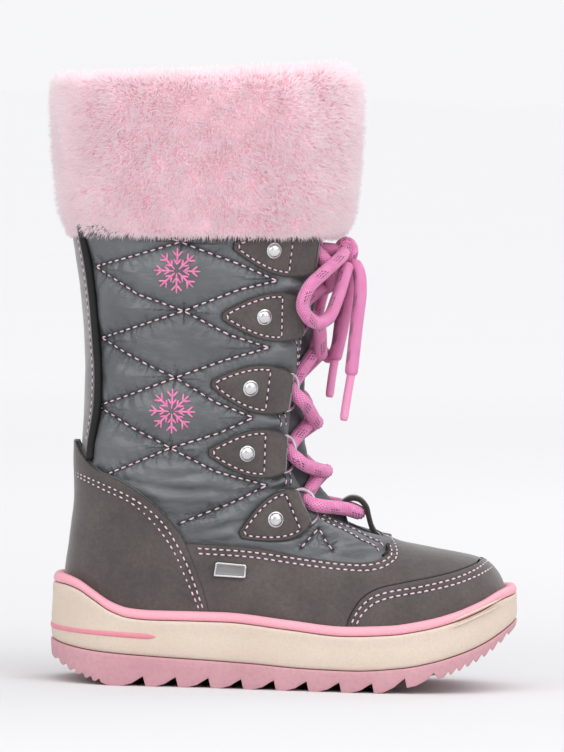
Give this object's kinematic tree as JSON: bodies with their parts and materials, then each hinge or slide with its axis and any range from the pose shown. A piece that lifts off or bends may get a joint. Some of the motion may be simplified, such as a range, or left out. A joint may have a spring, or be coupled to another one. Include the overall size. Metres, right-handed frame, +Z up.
{
  "type": "snow boot",
  "caption": "Child's tall quilted lace-up snow boot for the right foot, with a deep fur cuff, lace rings on leather tabs, a cup sole and a lugged tread.",
  "frame": {"origin": "on the ground, under the middle of the boot's bounding box", "axes": "+X to the toe, +Y to the inner side of the foot, +Z up"},
  "size_m": [0.2285, 0.1104, 0.2926],
  "materials": {
    "nylon": "glossy woven nylon, quilted",
    "dark_nylon": "woven nylon",
    "felt": "felt",
    "suede": "matt nubuck",
    "fur": "deep plush fur",
    "steel": "polished",
    "lace": "woven cord with dark flecks",
    "lace_tip": "gloss",
    "pink_rubber": "satin",
    "cream_rubber": "satin",
    "lug_rubber": "matt"
  },
  "bodies": {
    "root": {"upper": "nylon", "tongue": "dark_nylon", "insole": "felt", "heel_counter": "suede", "vamp": "suede", "toe_cap": "suede", "backstay": "suede", "fur_cuff": "fur", "lace_tab_outer_1": "suede", "lace_ring_outer_1": "steel", "rivet_outer_1": "steel", "lace_tab_inner_1": "suede", "lace_ring_inner_1": "steel", "rivet_inner_1": "steel", "lace_tab_outer_2": "suede", "lace_ring_outer_2": "steel", "rivet_outer_2": "steel", "lace_tab_inner_2": "suede", "lace_ring_inner_2": "steel", "rivet_inner_2": "steel", "lace_tab_outer_3": "suede", "lace_ring_outer_3": "steel", "rivet_outer_3": "steel", "lace_tab_inner_3": "suede", "lace_ring_inner_3": "steel", "rivet_inner_3": "steel", "lace_tab_outer_4": "suede", "lace_ring_outer_4": "steel", "rivet_outer_4": "steel", "lace_tab_inner_4": "suede", "lace_ring_inner_4": "steel", "rivet_inner_4": "steel", "lace_tab_outer_5": "suede", "lace_ring_outer_5": "steel", "rivet_outer_5": "steel", "lace_tab_inner_5": "suede", "lace_ring_inner_5": "steel", "rivet_inner_5": "steel", "lace_crossing_1": "lace", "lace_crossing_2": "lace", "lace_crossing_3": "lace", "lace_crossing_4": "lace", "lace_lowest_bar": "lace", "lace_keeper": "suede", "lace_knot": "lace", "bow_loop_outer": "lace", "bow_loop_inner": "lace", "lace_end_outer": "lace", "lace_end_inner": "lace", "aglet_outer": "lace_tip", "aglet_inner": "lace_tip", "welt_band": "pink_rubber", "midsole": "cream_rubber", "outsole": "lug_rubber", "badge_plate": "pink_rubber"}
  },
  "joints": []
}
